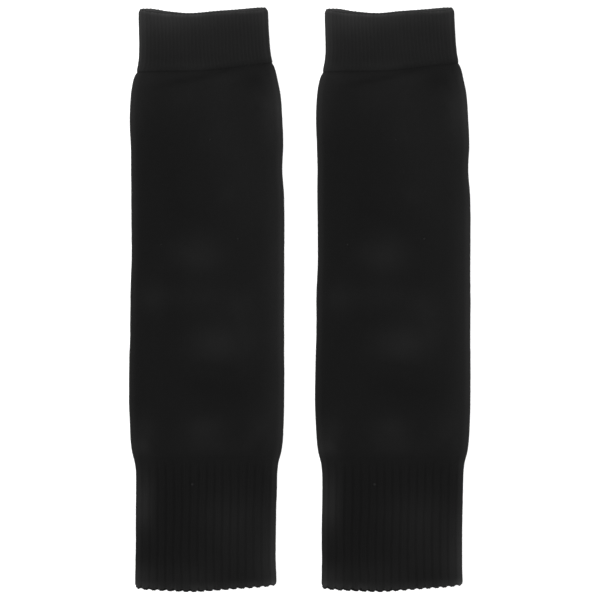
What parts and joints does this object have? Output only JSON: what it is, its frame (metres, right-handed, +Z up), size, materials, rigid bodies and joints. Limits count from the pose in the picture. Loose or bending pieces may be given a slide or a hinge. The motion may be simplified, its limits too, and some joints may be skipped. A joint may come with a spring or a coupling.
{
  "type": "pair of calf compression sleeves",
  "caption": "Pair of footless knitted calf sleeves laid flat, each a tube with a fine ribbed knee welt, a plain calf and a wide ribbed ankle with a scalloped hem.",
  "frame": {"origin": "centre of the pair's outline seen from above, on the surface that it lies on", "axes": "+Y runs up the leg from the ankle hems to the knee welts, +X to the right as seen from above, +Z up out of the surface"},
  "size_m": [0.2222, 0.3798, 0.0054],
  "materials": {
    "knee_welt_knit": "matt fine rib knit",
    "calf_knit": "matt plain knit",
    "ankle_rib_knit": "matt wide rib knit"
  },
  "bodies": {
    "root": {"left_knee_welt": "knee_welt_knit", "right_knee_welt": "knee_welt_knit", "left_calf_tube": "calf_knit", "right_calf_tube": "calf_knit", "left_ankle_rib": "ankle_rib_knit", "right_ankle_rib": "ankle_rib_knit"}
  },
  "joints": []
}
